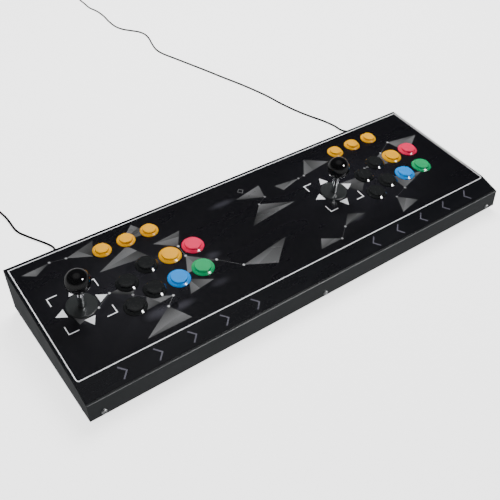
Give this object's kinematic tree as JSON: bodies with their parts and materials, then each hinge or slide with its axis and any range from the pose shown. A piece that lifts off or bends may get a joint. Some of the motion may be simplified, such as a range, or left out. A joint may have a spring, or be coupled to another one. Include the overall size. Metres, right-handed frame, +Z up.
{
  "type": "two-player arcade control console",
  "caption": "Low wedge-shaped steel control console with ball-top sticks, coloured push buttons, a printed panel overlay, rubber feet and cable leads with plugs.",
  "frame": {"origin": "on the floor, under the middle of the case's box (leads left out)", "axes": "+X to the right along the case, +Y to the back where the leads come out, +Z up"},
  "size_m": [0.7673, 1.4798, 0.131],
  "materials": {
    "case_paint": "fine satin powder coat, dark grey",
    "base_paint": "satin powder coat",
    "overlay": "printed satin polycarbonate sheet, near black with grey artwork",
    "screw_steel": "bright zinc plating",
    "foot_rubber": "matte moulded rubber",
    "yellow": "glossy moulded plastic",
    "black": "glossy moulded plastic",
    "red": "glossy moulded plastic",
    "blue": "glossy moulded plastic",
    "green": "glossy moulded plastic",
    "ball_plastic": "polished black phenolic",
    "shaft_chrome": "polished chrome plating",
    "acetal_white": "moulded acetal",
    "washer_plastic": "satin moulded nylon",
    "plate_zinc": "zinc-plated steel",
    "frame_plastic": "glass-filled nylon",
    "spring_steel": "drawn spring wire",
    "board": "green solder resist",
    "switch_plastic": "moulded thermoset",
    "wire_jacket": "sleeved wire bundle",
    "lead_jacket": "satin black cable jacket",
    "plug_plastic": "moulded plug body with a plated steel tongue"
  },
  "bodies": {
    "case": {"case_shell": "case_paint", "base_plate": "base_paint", "panel_overlay": "overlay", "machine_screws": "screw_steel", "rubber_feet": "foot_rubber", "menu_button_housings": "yellow", "black_button_housings": "black", "yellow_button_housings": "yellow", "red_button_housings": "red", "blue_button_housings": "blue", "green_button_housings": "green", "stick_plates": "plate_zinc", "stick_housings": "frame_plastic", "stick_springs": "spring_steel", "stick_gates": "frame_plastic", "switch_boards": "board", "microswitches": "switch_plastic", "encoder_boards": "board", "wiring_harness": "wire_jacket", "cord_reliefs": "lead_jacket", "left_cord": "lead_jacket", "left_coil": "lead_jacket", "left_plug": "plug_plastic", "right_cord": "lead_jacket", "right_coil": "lead_jacket", "right_plug": "plug_plastic"},
    "p1_menu_plunger_1": {"p1_menu_plunger_1": "yellow"},
    "p1_menu_plunger_2": {"p1_menu_plunger_2": "yellow"},
    "p1_menu_plunger_3": {"p1_menu_plunger_3": "yellow"},
    "p1_black_plunger_1": {"p1_black_plunger_1": "black"},
    "p1_black_plunger_2": {"p1_black_plunger_2": "black"},
    "p1_black_plunger_3": {"p1_black_plunger_3": "black"},
    "p1_black_plunger_4": {"p1_black_plunger_4": "black"},
    "p1_yellow_plunger": {"p1_yellow_plunger": "yellow"},
    "p1_red_plunger": {"p1_red_plunger": "red"},
    "p1_blue_plunger": {"p1_blue_plunger": "blue"},
    "p1_green_plunger": {"p1_green_plunger": "green"},
    "p1_pivot": {"p1_pivot_ball": "acetal_white"},
    "p1_stick": {"p1_ball_top": "ball_plastic", "p1_stick_shaft": "shaft_chrome", "p1_actuator": "acetal_white"},
    "p1_slider": {"p1_inner_washer": "washer_plastic"},
    "p1_washer": {"p1_dust_washer": "washer_plastic"},
    "p2_menu_plunger_1": {"p2_menu_plunger_1": "yellow"},
    "p2_menu_plunger_2": {"p2_menu_plunger_2": "yellow"},
    "p2_menu_plunger_3": {"p2_menu_plunger_3": "yellow"},
    "p2_black_plunger_1": {"p2_black_plunger_1": "black"},
    "p2_black_plunger_2": {"p2_black_plunger_2": "black"},
    "p2_black_plunger_3": {"p2_black_plunger_3": "black"},
    "p2_black_plunger_4": {"p2_black_plunger_4": "black"},
    "p2_yellow_plunger": {"p2_yellow_plunger": "yellow"},
    "p2_red_plunger": {"p2_red_plunger": "red"},
    "p2_blue_plunger": {"p2_blue_plunger": "blue"},
    "p2_green_plunger": {"p2_green_plunger": "green"},
    "p2_pivot": {"p2_pivot_ball": "acetal_white"},
    "p2_stick": {"p2_ball_top": "ball_plastic", "p2_stick_shaft": "shaft_chrome", "p2_actuator": "acetal_white"},
    "p2_slider": {"p2_inner_washer": "washer_plastic"},
    "p2_washer": {"p2_dust_washer": "washer_plastic"}
  },
  "joints": [
    {"name": "p1_menu_press_1", "type": "slide", "parent": "case", "child": "p1_menu_plunger_1", "axis": [0, 0.1414, -0.9899], "range_m": [0, 0.003], "stiffness_N_per_m": 200, "springref_m": -0.002},
    {"name": "p1_menu_press_2", "type": "slide", "parent": "case", "child": "p1_menu_plunger_2", "axis": [0, 0.1414, -0.9899], "range_m": [0, 0.003], "stiffness_N_per_m": 200, "springref_m": -0.002},
    {"name": "p1_menu_press_3", "type": "slide", "parent": "case", "child": "p1_menu_plunger_3", "axis": [0, 0.1414, -0.9899], "range_m": [0, 0.003], "stiffness_N_per_m": 200, "springref_m": -0.002},
    {"name": "p1_black_press_1", "type": "slide", "parent": "case", "child": "p1_black_plunger_1", "axis": [0, 0.1414, -0.9899], "range_m": [0, 0.003], "stiffness_N_per_m": 200, "springref_m": -0.002},
    {"name": "p1_black_press_2", "type": "slide", "parent": "case", "child": "p1_black_plunger_2", "axis": [0, 0.1414, -0.9899], "range_m": [0, 0.003], "stiffness_N_per_m": 200, "springref_m": -0.002},
    {"name": "p1_black_press_3", "type": "slide", "parent": "case", "child": "p1_black_plunger_3", "axis": [0, 0.1414, -0.9899], "range_m": [0, 0.003], "stiffness_N_per_m": 200, "springref_m": -0.002},
    {"name": "p1_black_press_4", "type": "slide", "parent": "case", "child": "p1_black_plunger_4", "axis": [0, 0.1414, -0.9899], "range_m": [0, 0.003], "stiffness_N_per_m": 200, "springref_m": -0.002},
    {"name": "p1_yellow_press", "type": "slide", "parent": "case", "child": "p1_yellow_plunger", "axis": [0, 0.1414, -0.9899], "range_m": [0, 0.003], "stiffness_N_per_m": 200, "springref_m": -0.002},
    {"name": "p1_red_press", "type": "slide", "parent": "case", "child": "p1_red_plunger", "axis": [0, 0.1414, -0.9899], "range_m": [0, 0.003], "stiffness_N_per_m": 200, "springref_m": -0.002},
    {"name": "p1_blue_press", "type": "slide", "parent": "case", "child": "p1_blue_plunger", "axis": [0, 0.1414, -0.9899], "range_m": [0, 0.003], "stiffness_N_per_m": 200, "springref_m": -0.002},
    {"name": "p1_green_press", "type": "slide", "parent": "case", "child": "p1_green_plunger", "axis": [0, 0.1414, -0.9899], "range_m": [0, 0.003], "stiffness_N_per_m": 200, "springref_m": -0.002},
    {"name": "p1_stick_left_right", "type": "hinge", "parent": "case", "child": "p1_pivot", "pos_m": [-0.313, 0.01124, 0.04809], "axis": [0, 0.9899, 0.1414], "range_deg": [-8.5, 8.5], "stiffness_Nm_per_rad": 1.2},
    {"name": "p1_stick_fore_aft", "type": "hinge", "parent": "p1_pivot", "child": "p1_stick", "pos_m": [-0.313, 0.01124, 0.04809], "axis": [-1, 0, 0], "range_deg": [-8.5, 8.5], "stiffness_Nm_per_rad": 1.2},
    {"name": "p1_washer_left_right", "type": "slide", "parent": "case", "child": "p1_slider", "axis": [1, 0, 0], "range_m": [-0.0027, 0.0027]},
    {"name": "p1_washer_fore_aft", "type": "slide", "parent": "p1_slider", "child": "p1_washer", "axis": [0, 0.9899, 0.1414], "range_m": [-0.0027, 0.0027]},
    {"name": "p2_menu_press_1", "type": "slide", "parent": "case", "child": "p2_menu_plunger_1", "axis": [0, 0.1414, -0.9899], "range_m": [0, 0.003], "stiffness_N_per_m": 200, "springref_m": -0.002},
    {"name": "p2_menu_press_2", "type": "slide", "parent": "case", "child": "p2_menu_plunger_2", "axis": [0, 0.1414, -0.9899], "range_m": [0, 0.003], "stiffness_N_per_m": 200, "springref_m": -0.002},
    {"name": "p2_menu_press_3", "type": "slide", "parent": "case", "child": "p2_menu_plunger_3", "axis": [0, 0.1414, -0.9899], "range_m": [0, 0.003], "stiffness_N_per_m": 200, "springref_m": -0.002},
    {"name": "p2_black_press_1", "type": "slide", "parent": "case", "child": "p2_black_plunger_1", "axis": [0, 0.1414, -0.9899], "range_m": [0, 0.003], "stiffness_N_per_m": 200, "springref_m": -0.002},
    {"name": "p2_black_press_2", "type": "slide", "parent": "case", "child": "p2_black_plunger_2", "axis": [0, 0.1414, -0.9899], "range_m": [0, 0.003], "stiffness_N_per_m": 200, "springref_m": -0.002},
    {"name": "p2_black_press_3", "type": "slide", "parent": "case", "child": "p2_black_plunger_3", "axis": [0, 0.1414, -0.9899], "range_m": [0, 0.003], "stiffness_N_per_m": 200, "springref_m": -0.002},
    {"name": "p2_black_press_4", "type": "slide", "parent": "case", "child": "p2_black_plunger_4", "axis": [0, 0.1414, -0.9899], "range_m": [0, 0.003], "stiffness_N_per_m": 200, "springref_m": -0.002},
    {"name": "p2_yellow_press", "type": "slide", "parent": "case", "child": "p2_yellow_plunger", "axis": [0, 0.1414, -0.9899], "range_m": [0, 0.003], "stiffness_N_per_m": 200, "springref_m": -0.002},
    {"name": "p2_red_press", "type": "slide", "parent": "case", "child": "p2_red_plunger", "axis": [0, 0.1414, -0.9899], "range_m": [0, 0.003], "stiffness_N_per_m": 200, "springref_m": -0.002},
    {"name": "p2_blue_press", "type": "slide", "parent": "case", "child": "p2_blue_plunger", "axis": [0, 0.1414, -0.9899], "range_m": [0, 0.003], "stiffness_N_per_m": 200, "springref_m": -0.002},
    {"name": "p2_green_press", "type": "slide", "parent": "case", "child": "p2_green_plunger", "axis": [0, 0.1414, -0.9899], "range_m": [0, 0.003], "stiffness_N_per_m": 200, "springref_m": -0.002},
    {"name": "p2_stick_left_right", "type": "hinge", "parent": "case", "child": "p2_pivot", "pos_m": [0.129, 0.01124, 0.04809], "axis": [0, 0.9899, 0.1414], "range_deg": [-8.5, 8.5], "stiffness_Nm_per_rad": 1.2},
    {"name": "p2_stick_fore_aft", "type": "hinge", "parent": "p2_pivot", "child": "p2_stick", "pos_m": [0.129, 0.01124, 0.04809], "axis": [-1, 0, 0], "range_deg": [-8.5, 8.5], "stiffness_Nm_per_rad": 1.2},
    {"name": "p2_washer_left_right", "type": "slide", "parent": "case", "child": "p2_slider", "axis": [1, 0, 0], "range_m": [-0.0027, 0.0027]},
    {"name": "p2_washer_fore_aft", "type": "slide", "parent": "p2_slider", "child": "p2_washer", "axis": [0, 0.9899, 0.1414], "range_m": [-0.0027, 0.0027]}
  ],
  "couplings": [
    {"joint": "p1_washer_left_right", "follows": "p1_stick_left_right", "m_per_rad": 0.01765},
    {"joint": "p1_washer_fore_aft", "follows": "p1_stick_fore_aft", "m_per_rad": 0.01765},
    {"joint": "p2_washer_left_right", "follows": "p2_stick_left_right", "m_per_rad": 0.01765},
    {"joint": "p2_washer_fore_aft", "follows": "p2_stick_fore_aft", "m_per_rad": 0.01765}
  ]
}
